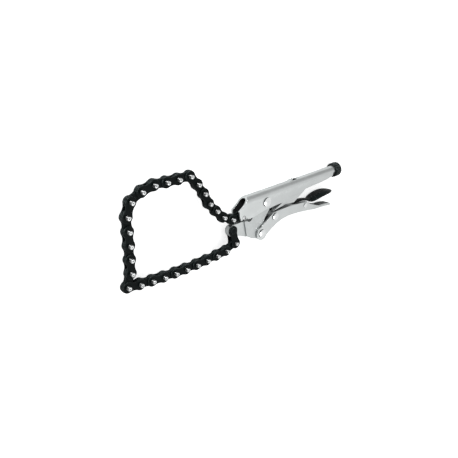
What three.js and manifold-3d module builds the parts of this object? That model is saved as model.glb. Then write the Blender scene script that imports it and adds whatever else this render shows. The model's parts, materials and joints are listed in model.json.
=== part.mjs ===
// Chain clamp: locking pliers whose jaw carries a roller chain, lying on its side with the chain hooked.
// Millimetres. X runs from the nose to the knob, Y from the lever to the handle's back, Z along the rivets.
// The shapes are drawn about the jaw pivot, and the finished group is set down on the ground plane.
import * as THREE from 'three';
import { mergeVertices } from 'three/addons/utils/BufferGeometryUtils.js';
import Module from 'manifold-3d';

const wasm = await Module();
wasm.setup();

// Fits and shared counts
const FIT_GAP = 0.3;
const CUT = 30;
const ROUND_SIDES = 24;
const RIVET_SIDES = 16;
const SMALL_SIDES = 12;

// Chain
const PITCH = 15.875;
const FIRST_PITCH = 19;
const PLATE = 1.4;
const PLATE_GAP = 0.2;
const BUSH_HALF = 0.4;
const OUTER_HEAD_RADIUS = 6.4;
const INNER_HEAD_RADIUS = 6.9;
const WAIST_HALF = 4.6;
const WAIST_BLEND = 12;
const BUSH_RADIUS = 4.2;
const PIN_RADIUS = 2.4;
const PIN_SIDES = 8;
const HEAD_STEPS = 7;

// Chain plate faces, from the middle of the chain outwards
const INNER_LOW = BUSH_HALF;
const INNER_HIGH = INNER_LOW + PLATE;
const OUTER_LOW = INNER_HIGH + PLATE_GAP;
const OUTER_HIGH = OUTER_LOW + PLATE;

// Sheet channel of the handle and the lever; the chain's pins reach across both walls
const SHEET = 2.4;
const CHANNEL_HALF = 4.8;
const HANDLE_HALF = CHANNEL_HALF + SHEET;
const PIN_REACH = HANDLE_HALF;

// Handle, from the jaw pivot
const NOSE_REACH = 48.9;
const TUBE_REACH = 147;
const WALL_DROP = 15.6;
const TUBE_AXIS = 8;
const TUBE_START = 84;
const ROOF_TOP = TUBE_AXIS + HANDLE_HALF;
const BEND_START = 33;
const BEND_TOP = 5.6;
const BEND_DEPTH = 1.2;
const WINDOW_START = 53.9;
const WINDOW_LENGTH = 9;
const WINDOW_HALF = 2.6;
const TAB_LENGTH = 5.5;
const TAB_RISE = 1.6;
const TAB_THICK = 1.3;

// Hooked end of the chain and the chain's anchor in the jaw
const HOOK_INSET = 7.9;
const HOOK_X = HOOK_INSET - NOSE_REACH;
const HOOK_Y = -9.5;
const HOOK_SLOT_TURN = 16;
const ANCHOR_X = -56.4;
const ANCHOR_Y = -23.4;

// Jaw
const JAW_REACH = 37.5;
const JAW_DROP = 48.6;
const JAW_EYE = 9;
const JAW_HALF = CHANNEL_HALF - FIT_GAP;
const FIRST_HIGH = JAW_HALF;
const FIRST_LOW = FIRST_HIGH - PLATE;
const TONGUE_HALF = FIRST_LOW - FIT_GAP;
const TONGUE_NOSE = 7.5;
const LUG_RADIUS = 7.5;
const SPRING_PIN_X = 0;
const SPRING_PIN_Y = -18.6;
const SPRING_PIN_RADIUS = 1;
const SPRING_SLOT_HALF = 1.1;
const SPRING_SLOT_FRONT = 4.6;

// Main lever, from the jaw
const LEVER_X = -8;
const LEVER_Y = -41.1;
const LEVER_REACH = 149.1;
const LEVER_RISE = 23.4;
const LEVER_EYE = 9.2;
const LEVER_WEB = 2;
const TAIL_ROUND = 5.5;

// Toggle link, from its rivet in the lever to the adjusting screw
const TOGGLE_X = 16.6;
const TOGGLE_Y = -24.6;
const TOGGLE_EYE = 5.5;
const TOGGLE_HALF = 2.6;
const TOGGLE_ARM_HALF = 3.3;
const TOGGLE_NOSE = 4;
const TOGGLE_END_X = 60.9;
const TOGGLE_END_Y = 5.2;

// Release lever and its grip, from their rivet in the lever
const RELEASE_X = 78.2;
const RELEASE_Y = -26;
const RELEASE_FRONT = 38.2;
const RELEASE_REAR = 66.8;
const RELEASE_RISE = 8.8;
const RELEASE_EYE = 4.2;
const RELEASE_HALF = 3.8;
const RELEASE_SHEET = 1.6;
const TANG_HALF = 3;
const PAD_HALF = 8.2;

// Rivets
const RIVET_RADIUS = 2.8;
const RIVET_DOME = 1.6;
const JAW_RIVET_HEAD = 6;
const LEVER_RIVET_HEAD = 5.5;
const TOGGLE_RIVET_HEAD = 5;
const RELEASE_RIVET_RADIUS = 2;
const RELEASE_RIVET_HEAD = 3.2;
const RELEASE_RIVET_DOME = 0.9;
const ANCHOR_RIVET_HEAD = 4;
const ANCHOR_RIVET_DOME = 0.7;

// Adjusting screw and knob
const SCREW_RADIUS = 4.4;
const SCREW_CHAMFER = 1;
const KNOB_RADIUS = 10.2;
const KNOB_LENGTH = 7.2;
const KNOB_FLUTES = 18;
const FLUTE_DEPTH = 0.5;
const KNOB_CHAMFER = 1;
const KNOB_SOCKET = 5;

// Spring
const WIRE_RADIUS = 0.55;
const COIL_RADIUS = 2.65;
const COILS = 16;
const COIL_STEPS = 8;
const WIRE_SIDES = 5;
const COIL_START = 12.5;
const COIL_END = 50.5;
const EYE_HALF = 1.95;
const EYE_REACH = 3.6;
const HOOK_RISE = 1.6;

// Chain route: how many links lie in each run, and the headings in degrees at the run's first and last link
const CHAIN_RUNS = [
  { links: 1, first: -76, last: -76 },
  { links: 1, first: -159, last: -159 },
  { links: 9, first: -177, last: -189 },
  { links: 1, first: -291, last: -291 },
  { links: 4, first: -273, last: -270 },
  { links: 1, first: -292, last: -292 },
  { links: 2, first: -331, last: -348 },
  { links: 3, first: -363, last: -361 },
  { links: 3, first: -409, last: -423 },
  { links: 2, first: -409, last: -406 },
  { links: 2, first: -386, last: -364 },
];
const LOWER_RUN = [2, 10];
const RISING_RUN = [12, 15];
const CLOSING_ROUNDS = 8;
const CLOSING_PROBE = 0.01;

// Outlines: each point is a share of the reach on its own side of the piece's pivot
const HANDLE_SHARES = [
  [-0.573, 1.184], [-0.658, 0.987], [-0.808, 0.421], [-1, 0.007], [-0.99, -0.372], [-0.941, -0.801],
  [-0.888, -0.756], [-0.757, -0.782], [-0.74, -0.718], [-0.661, -0.878], [-0.507, -0.872], [-0.247, -0.731],
  [-0.041, -0.635], [0.042, -0.596], [0.122, -0.571], [0.202, -0.564], [0.089, -1], [0.177, -0.878],
  [0.272, -0.859], [0.367, -0.974], [0.383, -0.897], [0.525, -0.096], [0.627, -0.051], [0.751, -0.026],
  [0.86, 0.046], [0.935, 0.211], [0.935, 1.184],
];
const JAW_SHARES = [
  [-1, -0.335], [-0.885, -0.786], [-0.688, -0.883], [-0.453, -0.951], [-0.328, -0.979], [-0.083, -0.576],
  [-0.035, -0.471], [0.822, -0.259], [0.778, -0.115], [-0.24, -0.021], [-0.595, -0.315], [-0.72, -0.387],
  [-0.792, -0.395], [-0.872, -0.354],
];
const TONGUE_NOSE_SHARES = [[-0.801, -0.695], [-1.037, -0.64], [-1, -0.33], [-0.84, -0.338]];
const TONGUE_ROOT_SHARES = [[-1, -0.338], [-0.827, -0.45], [-0.886, -0.802]];
const LEVER_FOOT_SHARES = [
  [0.113, 0.034], [0.185, 0.248], [0.252, 0.376], [0.335, 0.423], [0.402, 0.41], [0.506, 0.35],
  [0.623, 0.244], [0.721, 0.137], [0.799, 0.107], [0.878, 0.064], [0.958, -0.017], [1, -0.073],
];
const LEVER_FRONT_SHARES = [[-0.036, 0.457], [0, -0.15], [0.059, -0.18]];
const LEVER_BACK_SHARES = [
  [1, 0.02], [0.958, 0.1], [0.878, 0.192], [0.802, 0.22], [0.761, 0.312], [0.661, 0.573], [0.599, 0.803],
  [0.516, 0.897], [0.419, 0.957], [0.322, 1], [0.222, 1], [0.143, 0.996], [0.104, 0.833], [0.04, 0.607],
];
const RELEASE_TOP_SHARES = [
  [-1, 0.545], [-0.738, 0.67], [-0.503, 0.761], [-0.058, 0.761], [0.117, 0.477], [0.192, 0.25],
  [0.266, 0.352], [0.416, 0.58], [0.566, 0.727], [0.79, 0.727], [0.865, 0.602],
];
const RELEASE_FOOT_SHARES = [[0.11, -0.1], [-0.15, 0.2], [-0.45, 0.4], [-0.738, 0.33], [-1, 0.3]];
const GRIP_TOP_SHARES = [
  [-0.503, 1], [-0.058, 1], [0.117, 0.716], [0.192, 0.489], [0.266, 0.511], [0.416, 0.739], [0.566, 0.886],
  [0.79, 0.886], [0.925, 0.705], [1, 0.455],
];
const GRIP_FOOT_SHARES = [
  [1, 0.341], [0.925, 0.227], [0.79, 0.375], [0.566, 0.375], [0.416, 0.227], [0.266, 0], [0.192, -0.034],
];
const GRIP_PLAN_SHARES = [
  [-0.503, 0.537], [0.192, 0.537], [0.341, 0.67], [0.491, 0.915], [0.641, 1], [0.79, 0.902], [0.91, 0.61],
  [0.98, 0.25],
];
const DOME_SHARES = [[1, 0], [0.92, 0.45], [0.6, 0.88], [0, 1]];
const EYE_SHARES = [[0, -1], [-0.75, -0.7], [-1.05, 0], [-0.75, 0.7], [0, 1]];

const satinNickel = new THREE.MeshStandardMaterial({ color: 0xc6cbca, roughness: 0.36, metalness: 1 });
const forgedSteel = new THREE.MeshStandardMaterial({ color: 0xb9bfbe, roughness: 0.42, metalness: 1 });
const brightSteel = new THREE.MeshStandardMaterial({ color: 0xd2d6d5, roughness: 0.28, metalness: 1 });
const blackOxide = new THREE.MeshStandardMaterial({ color: 0x141917, roughness: 0.45, metalness: 0.8 });
const blackGrip = new THREE.MeshStandardMaterial({ color: 0x101514, roughness: 0.55, metalness: 0 });

const group = new THREE.Group();
const flat = new THREE.Group();
group.add(flat);

// Solids: closed three.js geometries joined and cut as manifolds

function manifold(geometry) {
  const bare = geometry.clone().deleteAttribute('normal').deleteAttribute('uv');
  const merged = mergeVertices(bare);
  const vertProperties = merged.attributes.position.array;
  return new wasm.Manifold(new wasm.Mesh({ numProp: 3, vertProperties, triVerts: merged.index.array }));
}

function geometryOf(body) {
  const { vertProperties, triVerts } = body.getMesh();
  const geometry = new THREE.BufferGeometry();
  geometry.setAttribute('position', new THREE.BufferAttribute(vertProperties, 3));
  geometry.setIndex(new THREE.BufferAttribute(triVerts, 1));
  geometry.computeVertexNormals();
  return geometry;
}

function place(name, body, material, parent = flat) {
  const mesh = new THREE.Mesh(geometryOf(body), material);
  mesh.name = name;
  parent.add(mesh);
  return mesh;
}

function extrude(points, depth) {
  const shape = new THREE.Shape(points.map(([x, y]) => new THREE.Vector2(x, y)));
  return new THREE.ExtrudeGeometry(shape, { depth, bevelEnabled: false });
}

// A side outline in X and Y, standing from one height to another
function slab(points, low, high) {
  return manifold(extrude(points, high - low).translate(0, 0, low));
}

// A section in Y and Z, run along X
function beam(points, start, end) {
  const turn = new THREE.Matrix4().set(0, 0, 1, 0, 1, 0, 0, 0, 0, 1, 0, 0, 0, 0, 0, 1);
  return manifold(extrude(points, end - start).applyMatrix4(turn).translate(start, 0, 0));
}

// A plan outline in X and Z, run down along Y
function plan(points, top, bottom) {
  return manifold(extrude(points, top - bottom).rotateX(Math.PI / 2).translate(0, top, 0));
}

function box(x, y, z) {
  const size = [x[1] - x[0], y[1] - y[0], z[1] - z[0]];
  const middle = [x[0] + x[1], y[0] + y[1], z[0] + z[1]].map((sum) => sum / 2);
  return manifold(new THREE.BoxGeometry(...size).translate(...middle));
}

function disc(x, y, radius, low, high, sides = ROUND_SIDES) {
  const cylinder = new THREE.CylinderGeometry(radius, radius, high - low, sides);
  return manifold(cylinder.rotateX(Math.PI / 2).translate(x, y, (low + high) / 2));
}

function hole(x, y, radius, sides = ROUND_SIDES) {
  return disc(x, y, radius, -CUT, CUT, sides);
}

function arc(x, y, radius, from, to, steps) {
  return Array.from({ length: steps + 1 }, (_, step) => {
    const turn = THREE.MathUtils.degToRad(from + ((to - from) * step) / steps);
    return [x + radius * Math.cos(turn), y + radius * Math.sin(turn)];
  });
}

function outline(shares, { x = 0, y = 0, left, right, down, up }) {
  return shares.map(([along, across]) => [
    x + along * (along < 0 ? left : right),
    y + across * (across < 0 ? down : up),
  ]);
}

function raised(points, rise) {
  return points.map(([x, y]) => [x, y + rise]);
}

function joined(bodies) {
  return bodies.reduce((whole, body) => whole.add(body));
}

function cut(body, cutters) {
  return cutters.reduce((left, cutter) => left.subtract(cutter), body);
}

// A rivet through the middle plane: a shank with a low dome at each end
function rivet(x, y, shank, head, dome, reach) {
  const rise = DOME_SHARES.map(([out, height]) => [head * out, reach + dome * height]);
  const upper = [[shank, reach], ...rise];
  const lower = upper.map(([radius, height]) => [radius, -height]).reverse();
  const profile = [...lower, ...upper].map(([radius, height]) => new THREE.Vector2(radius, height));
  const lathe = new THREE.LatheGeometry(profile, RIVET_SIDES);
  return manifold(lathe.rotateX(Math.PI / 2).translate(x, y, 0));
}

// Upper handle: a folded channel that closes into a tube, with its hook slot, pivot holes and spring window

function channelSection() {
  const arch = arc(TUBE_AXIS, 0, HANDLE_HALF, 90, -90, ROUND_SIDES / 2);
  const inside = arc(TUBE_AXIS, 0, CHANNEL_HALF, -90, 90, ROUND_SIDES / 2);
  const foot = -WALL_DROP - SHEET;
  const outer = [[foot, HANDLE_HALF], ...arch, [foot, -HANDLE_HALF]];
  return [...outer, [foot, -CHANNEL_HALF], ...inside, [foot, CHANNEL_HALF]];
}

function tube(radius, start, end) {
  return beam(arc(TUBE_AXIS, 0, radius, 0, 360 - 360 / ROUND_SIDES, ROUND_SIDES - 1), start, end);
}

function hookSlot() {
  const swing = Math.hypot(HOOK_X, HOOK_Y);
  const width = PIN_RADIUS + FIT_GAP;
  const rest = THREE.MathUtils.radToDeg(Math.atan2(HOOK_Y, HOOK_X)) + 360;
  const outer = arc(0, 0, swing + width, rest, rest + HOOK_SLOT_TURN, 4);
  const inner = arc(0, 0, swing - width, rest + HOOK_SLOT_TURN, rest, 4);
  return slab([...outer, ...inner], -CUT, CUT).add(hole(HOOK_X, HOOK_Y, width, SMALL_SIDES));
}

function springTab() {
  const root = WINDOW_START - TAB_LENGTH;
  const tip = WINDOW_START;
  const under = ROOF_TOP - TAB_THICK;
  const side = [[root, under], [tip, under + TAB_RISE], [tip, ROOF_TOP + TAB_RISE], [root, ROOF_TOP]];
  return slab(side, -WINDOW_HALF, WINDOW_HALF);
}

function bentMargin(side) {
  const foot = -WALL_DROP - SHEET;
  const face = side * HANDLE_HALF;
  const section = [[-BEND_TOP, face], [foot, face], [foot, face - side * BEND_DEPTH]];
  return beam(side > 0 ? section : section.reverse(), BEND_START, TUBE_START);
}

function handle() {
  const reach = { left: NOSE_REACH, right: TUBE_REACH, down: WALL_DROP, up: ROOF_TOP };
  const side = outline(HANDLE_SHARES, reach);
  const channel = beam(channelSection(), -CUT - NOSE_REACH, TUBE_REACH).intersect(slab(side, -CUT, CUT));
  const pipe = tube(HANDLE_HALF, TUBE_START, TUBE_REACH);
  const bore = tube(CHANNEL_HALF, TUBE_START - SHEET, TUBE_REACH + CUT);
  const windowX = [WINDOW_START, WINDOW_START + WINDOW_LENGTH];
  const roofWindow = box(windowX, [TUBE_AXIS, ROOF_TOP + CUT], [-WINDOW_HALF, WINDOW_HALF]);
  const whole = joined([channel.add(pipe).subtract(bore), springTab()]);
  const pivotHole = hole(0, 0, RIVET_RADIUS + FIT_GAP);
  const cutters = [roofWindow, hookSlot(), pivotHole, bentMargin(1), bentMargin(-1)];
  place('upper_handle', cut(whole, cutters), satinNickel);
  place('jaw_pivot_rivet', rivet(0, 0, RIVET_RADIUS, JAW_RIVET_HEAD, RIVET_DOME, HANDLE_HALF), brightSteel);
}

// Lower jaw with the tongue that carries the chain's first link

function jaw() {
  const reach = { left: JAW_REACH, right: JAW_EYE, down: JAW_DROP, up: JAW_EYE };
  const tongueNose = outline(TONGUE_NOSE_SHARES, { ...reach, left: -ANCHOR_X });
  const body = joined([
    slab(outline(JAW_SHARES, reach), -JAW_HALF, JAW_HALF),
    disc(0, 0, JAW_EYE, -JAW_HALF, JAW_HALF),
    disc(LEVER_X, LEVER_Y, LUG_RADIUS, -JAW_HALF, JAW_HALF),
    slab([...tongueNose, ...outline(TONGUE_ROOT_SHARES, reach)], -TONGUE_HALF, TONGUE_HALF),
    disc(ANCHOR_X, ANCHOR_Y, TONGUE_NOSE, -TONGUE_HALF, TONGUE_HALF),
  ]);
  const slotX = [SPRING_PIN_X - SPRING_SLOT_FRONT, SPRING_PIN_X + CUT];
  const slotY = [SPRING_PIN_Y - SPRING_SLOT_FRONT, SPRING_PIN_Y + SPRING_SLOT_FRONT + JAW_EYE / 2];
  const cutters = [
    hole(0, 0, RIVET_RADIUS + FIT_GAP),
    hole(LEVER_X, LEVER_Y, RIVET_RADIUS + FIT_GAP),
    hole(ANCHOR_X, ANCHOR_Y, PIN_RADIUS + FIT_GAP, SMALL_SIDES),
    hole(SPRING_PIN_X, SPRING_PIN_Y, SPRING_PIN_RADIUS + FIT_GAP, SMALL_SIDES),
    box(slotX, slotY, [-SPRING_SLOT_HALF, SPRING_SLOT_HALF]),
  ];
  place('lower_jaw', cut(body, cutters), forgedSteel);
  const pin = disc(SPRING_PIN_X, SPRING_PIN_Y, SPRING_PIN_RADIUS, -JAW_HALF, JAW_HALF, SMALL_SIDES);
  place('spring_pin', pin, brightSteel);
  const anchor = rivet(ANCHOR_X, ANCHOR_Y, PIN_RADIUS, ANCHOR_RIVET_HEAD, ANCHOR_RIVET_DOME, FIRST_HIGH);
  place('chain_anchor_rivet', anchor, blackOxide);
  const lever = rivet(LEVER_X, LEVER_Y, RIVET_RADIUS, LEVER_RIVET_HEAD, RIVET_DOME, HANDLE_HALF);
  place('jaw_lever_rivet', lever, brightSteel);
}

// Main lever: a channel open towards the handle, with a spoon tail

function mainLever() {
  const rise = { down: LEVER_RISE, up: LEVER_RISE };
  const reach = { x: LEVER_X, y: LEVER_Y, left: LEVER_EYE, right: LEVER_REACH, ...rise };
  const foot = outline(LEVER_FOOT_SHARES, reach);
  const edge = [...outline(LEVER_FRONT_SHARES, reach), ...foot, ...outline(LEVER_BACK_SHARES, reach)];
  const web = raised(foot, LEVER_WEB);
  const front = web[0][0];
  const rear = web.at(-1)[0] + CUT;
  const top = LEVER_Y + LEVER_RISE + CUT;
  const low = LEVER_Y - LEVER_RISE;
  const floor = [[front - CUT, low], [front, low], ...web, [rear, web.at(-1)[1]]];
  const hollow = [...floor, [rear, top], [front - CUT, top]];
  const tailEnd = LEVER_X + LEVER_REACH;
  const tailFront = tailEnd - TAIL_ROUND;
  const tailHalf = HANDLE_HALF / 2;
  const tail = [
    [LEVER_X - LEVER_EYE, -HANDLE_HALF],
    [tailFront, -HANDLE_HALF],
    [tailEnd, -tailHalf],
    [tailEnd, tailHalf],
    [tailFront, HANDLE_HALF],
    [LEVER_X - LEVER_EYE, HANDLE_HALF],
  ];
  const eye = disc(LEVER_X, LEVER_Y, LEVER_EYE, -HANDLE_HALF, HANDLE_HALF);
  const body = joined([slab(edge, -HANDLE_HALF, HANDLE_HALF), eye]);
  const cutters = [
    slab(hollow, -CHANNEL_HALF, CHANNEL_HALF),
    hole(LEVER_X, LEVER_Y, RIVET_RADIUS + FIT_GAP),
    hole(TOGGLE_X, TOGGLE_Y, RIVET_RADIUS + FIT_GAP),
    hole(RELEASE_X, RELEASE_Y, RELEASE_RIVET_RADIUS + FIT_GAP, SMALL_SIDES),
  ];
  place('main_lever', cut(body, cutters).intersect(plan(tail, top, low)), satinNickel);
  const toggle = rivet(TOGGLE_X, TOGGLE_Y, RIVET_RADIUS, TOGGLE_RIVET_HEAD, RIVET_DOME, HANDLE_HALF);
  place('toggle_link_rivet', toggle, brightSteel);
  const dome = RELEASE_RIVET_DOME;
  const release = rivet(RELEASE_X, RELEASE_Y, RELEASE_RIVET_RADIUS, RELEASE_RIVET_HEAD, dome, HANDLE_HALF);
  place('release_lever_rivet', release, brightSteel);
}

function toggleLink() {
  const along = new THREE.Vector2(TOGGLE_END_X - TOGGLE_X, TOGGLE_END_Y - TOGGLE_Y);
  const side = new THREE.Vector2(-along.y, along.x).setLength(TOGGLE_ARM_HALF);
  const arm = [
    [TOGGLE_X - side.x, TOGGLE_Y - side.y],
    [TOGGLE_END_X - side.x, TOGGLE_END_Y - side.y],
    [TOGGLE_END_X + side.x, TOGGLE_END_Y + side.y],
    [TOGGLE_X + side.x, TOGGLE_Y + side.y],
  ];
  const body = joined([
    slab(arm, -TOGGLE_HALF, TOGGLE_HALF),
    disc(TOGGLE_END_X, TOGGLE_END_Y, TOGGLE_NOSE, -TOGGLE_HALF, TOGGLE_HALF),
    disc(TOGGLE_X, TOGGLE_Y, TOGGLE_EYE, -JAW_HALF, JAW_HALF),
  ]);
  place('toggle_link', body.subtract(hole(TOGGLE_X, TOGGLE_Y, RIVET_RADIUS + FIT_GAP)), forgedSteel);
}

// Release lever: a small channel with a tang that runs into the leaf-shaped grip

function releaseLever() {
  const rise = { down: RELEASE_RISE, up: RELEASE_RISE };
  const reach = { x: RELEASE_X, y: RELEASE_Y, left: RELEASE_FRONT, right: RELEASE_REAR, ...rise };
  const top = outline(RELEASE_TOP_SHARES, reach);
  const foot = outline(RELEASE_FOOT_SHARES, reach);
  const channelTop = top.slice(0, 5);
  const under = raised(channelTop, -RELEASE_SHEET);
  const low = RELEASE_Y - CUT;
  const start = top[0][0] - CUT;
  const end = top[4][0] + CUT;
  const rear = under.at(-1)[1];
  const hollow = [[start, low], [end, low], [end, rear], ...under.reverse(), [start, under.at(-1)[1]]];
  const body = joined([
    slab([...foot, ...channelTop], -RELEASE_HALF, RELEASE_HALF),
    disc(RELEASE_X, RELEASE_Y, RELEASE_EYE, -RELEASE_HALF, RELEASE_HALF, SMALL_SIDES),
  ]);
  const tail = top.slice(3);
  const tang = slab([...raised(tail, -RELEASE_SHEET), ...tail.reverse()], -TANG_HALF, TANG_HALF);
  const cutters = [
    slab(hollow, RELEASE_SHEET - RELEASE_HALF, RELEASE_HALF - RELEASE_SHEET),
    hole(RELEASE_X, RELEASE_Y, RELEASE_RIVET_RADIUS + FIT_GAP, SMALL_SIDES),
  ];
  place('release_lever', cut(body, cutters).add(tang), forgedSteel);
  releaseGrip(top, reach);
}

// The grip lies over the channel's roof and closes round the tang behind it
function releaseGrip(top, reach) {
  const neckFoot = raised(top.slice(2, 6), FIT_GAP).reverse();
  const gripFoot = outline(GRIP_FOOT_SHARES, reach);
  const side = [...gripFoot, ...neckFoot, ...outline(GRIP_TOP_SHARES, reach)];
  const half = outline(GRIP_PLAN_SHARES, { ...reach, y: 0, up: PAD_HALF });
  const mirrored = half.map(([x, z]) => [x, -z]);
  const leaf = plan([...half.reverse(), ...mirrored], CUT, -CUT - WALL_DROP);
  const [front, ...rest] = top.slice(5);
  const end = rest.at(-1);
  const mouth = [[front[0] - FIT_GAP, front[1]], front, ...rest, [end[0] + FIT_GAP, end[1]]];
  const pocketSide = [...raised(mouth, -RELEASE_SHEET - FIT_GAP), ...raised(mouth, FIT_GAP).reverse()];
  const pocket = slab(pocketSide, -TANG_HALF - FIT_GAP, TANG_HALF + FIT_GAP);
  place('release_grip', slab(side, -CUT, CUT).intersect(leaf).subtract(pocket), blackGrip);
}

// Adjusting screw in the tube, and the fluted knob on its end

function turned(profile, sides) {
  const lathe = new THREE.LatheGeometry(profile.map(([radius, x]) => new THREE.Vector2(radius, x)), sides);
  return manifold(lathe.rotateZ(-Math.PI / 2).translate(0, TUBE_AXIS, 0));
}

function screwAndKnob() {
  const tip = TOGGLE_END_X + TOGGLE_NOSE + FIT_GAP;
  const knobStart = TUBE_REACH + FIT_GAP;
  const screwEnd = knobStart + KNOB_SOCKET - FIT_GAP;
  const point = [[0, tip], [SCREW_RADIUS - SCREW_CHAMFER, tip], [SCREW_RADIUS, tip + SCREW_CHAMFER]];
  const shaft = turned([...point, [SCREW_RADIUS, screwEnd], [0, screwEnd]], ROUND_SIDES);
  place('adjusting_screw', shaft, brightSteel);

  const flute = Array.from({ length: KNOB_FLUTES * 4 }, (_, step) => {
    const radius = step % 4 < 2 ? KNOB_RADIUS : KNOB_RADIUS - FLUTE_DEPTH;
    const turn = ((step + 0.5) / KNOB_FLUTES / 4) * Math.PI * 2;
    return [TUBE_AXIS + radius * Math.cos(turn), radius * Math.sin(turn)];
  });
  const knobEnd = knobStart + KNOB_LENGTH;
  const face = KNOB_RADIUS - KNOB_CHAMFER;
  const front = [[0, knobStart], [face, knobStart], [KNOB_RADIUS, knobStart + KNOB_CHAMFER]];
  const rear = [[KNOB_RADIUS, knobEnd - KNOB_CHAMFER], [face, knobEnd], [0, knobEnd]];
  const drum = turned([...front, ...rear], ROUND_SIDES * 2);
  const socket = tube(SCREW_RADIUS + FIT_GAP, knobStart - CUT, screwEnd + FIT_GAP);
  const knob = beam(flute, knobStart, knobEnd).intersect(drum).subtract(socket);
  place('adjusting_knob', knob, blackOxide);
}

// Tension spring: one wire, from the eye round the jaw's pin to the hook over the roof tab

function springWire() {
  const start = new THREE.Vector3(SPRING_PIN_X, SPRING_PIN_Y, 0);
  const rear = new THREE.Vector3(WINDOW_START - TAB_LENGTH, TUBE_AXIS + HOOK_RISE, 0);
  const along = rear.clone().sub(start).normalize();
  const up = new THREE.Vector3(-along.y, along.x, 0);
  const side = new THREE.Vector3(0, 0, 1);
  const at = (distance, rise, out) =>
    start.clone().addScaledVector(along, distance).addScaledVector(up, rise).addScaledVector(side, out);
  const round = EYE_SHARES.map(([back, rise]) => at(EYE_HALF * back, EYE_HALF * rise, 0));
  const leadIn = at((EYE_REACH + COIL_START) / 2, COIL_RADIUS, 0);
  const eye = [at(EYE_REACH, -EYE_HALF / 2, 0), ...round, at(EYE_REACH, EYE_HALF, 0), leadIn];
  const turns = COILS * COIL_STEPS;
  const coil = Array.from({ length: turns + 1 }, (_, step) => {
    const turn = (step / COIL_STEPS) * Math.PI * 2;
    const distance = COIL_START + ((COIL_END - COIL_START) * step) / turns;
    return at(distance, COIL_RADIUS * Math.cos(turn), COIL_RADIUS * Math.sin(turn));
  });
  const behind = WINDOW_START + WIRE_RADIUS + FIT_GAP;
  const over = ROOF_TOP + TAB_RISE + WIRE_RADIUS + FIT_GAP;
  const rising = [[behind, TUBE_AXIS + HOOK_RISE * 2], [behind, over - WIRE_RADIUS]];
  const bent = [[behind - WIRE_RADIUS, over], [behind - HOOK_RISE * 2, over - WIRE_RADIUS / 2]];
  const hook = [...rising, ...bent].map(([x, y]) => new THREE.Vector3(x, y, 0));
  return [...eye, ...coil, ...hook];
}

function leastSelfGap(points) {
  const skip = COIL_STEPS / 2;
  let least = Infinity;
  points.forEach((point, index) => {
    for (let other = index + skip; other < points.length; other += 1) {
      least = Math.min(least, point.distanceTo(points[other]));
    }
  });
  return least - WIRE_RADIUS * 2;
}

function wire(points, radius, sides) {
  const positions = [];
  const indices = [];
  let normal = new THREE.Vector3(0, 0, 1);
  points.forEach((point, index) => {
    const before = points[Math.max(index - 1, 0)];
    const after = points[Math.min(index + 1, points.length - 1)];
    const tangent = after.clone().sub(before).normalize();
    normal = normal.clone().addScaledVector(tangent, -normal.dot(tangent)).normalize();
    const side = tangent.clone().cross(normal);
    for (let corner = 0; corner < sides; corner += 1) {
      const turn = (corner / sides) * Math.PI * 2;
      const spot = point.clone().addScaledVector(normal, radius * Math.cos(turn));
      positions.push(...spot.addScaledVector(side, radius * Math.sin(turn)));
    }
  });
  for (let ring = 0; ring < points.length - 1; ring += 1) {
    for (let corner = 0; corner < sides; corner += 1) {
      const next = (corner + 1) % sides;
      const [a, b] = [ring * sides + corner, ring * sides + next];
      indices.push(a, b, b + sides, a, b + sides, a + sides);
    }
  }
  const last = (points.length - 1) * sides;
  for (let corner = 1; corner < sides - 1; corner += 1) {
    indices.push(0, corner + 1, corner, last, last + corner, last + corner + 1);
  }
  const geometry = new THREE.BufferGeometry();
  geometry.setAttribute('position', new THREE.Float32BufferAttribute(positions, 3));
  geometry.setIndex(indices);
  geometry.computeVertexNormals();
  return geometry;
}

function spring() {
  const points = springWire();
  console.log('least gap of the spring to itself:', leastSelfGap(points).toFixed(2), 'mm');
  const mesh = new THREE.Mesh(wire(points, WIRE_RADIUS, WIRE_SIDES), brightSteel);
  mesh.name = 'tension_spring';
  flat.add(mesh);
}

// Chain: riveted outer links that carry the long pins, and bushed inner links between them

function plateOutline(length, head) {
  const waist = THREE.MathUtils.radToDeg(Math.asin(WAIST_HALF / head)) + WAIST_BLEND;
  const far = arc(length, 0, head, waist - 180, 180 - waist, HEAD_STEPS);
  const near = arc(0, 0, head, waist, 360 - waist, HEAD_STEPS);
  return [...far, [length / 2, WAIST_HALF], ...near, [length / 2, -WAIST_HALF]];
}

function platePair(length, head, low, high) {
  const side = plateOutline(length, head);
  return slab(side, low, high).add(slab(side, -high, -low));
}

function chainPin(x) {
  return disc(x, 0, PIN_RADIUS, -PIN_REACH, PIN_REACH, PIN_SIDES);
}

// The first link straddles the jaw's tongue on the anchor rivet, so it is longer and has one pin
function firstLink() {
  const plates = platePair(FIRST_PITCH, OUTER_HEAD_RADIUS, FIRST_LOW, FIRST_HIGH);
  return plates.add(chainPin(FIRST_PITCH)).subtract(hole(0, 0, PIN_RADIUS + FIT_GAP, SMALL_SIDES));
}

function outerLink() {
  const plates = platePair(PITCH, OUTER_HEAD_RADIUS, OUTER_LOW, OUTER_HIGH);
  return joined([plates, chainPin(0), chainPin(PITCH)]);
}

function innerLink() {
  const bushes = [0, PITCH].map((x) => disc(x, 0, BUSH_RADIUS, -INNER_HIGH, INNER_HIGH, SMALL_SIDES));
  const body = joined([platePair(PITCH, INNER_HEAD_RADIUS, INNER_LOW, INNER_HIGH), ...bushes]);
  return cut(body, [0, PITCH].map((x) => hole(x, 0, PIN_RADIUS + FIT_GAP, SMALL_SIDES)));
}

function routeHeadings() {
  return CHAIN_RUNS.flatMap(({ links, first, last }) => {
    const step = (last - first) / Math.max(links - 1, 1);
    return Array.from({ length: links }, (_, link) => first + step * link);
  });
}

function linkStep(link, heading) {
  const turn = THREE.MathUtils.degToRad(heading);
  return new THREE.Vector2(Math.cos(turn), Math.sin(turn)).multiplyScalar(link === 0 ? FIRST_PITCH : PITCH);
}

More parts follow.
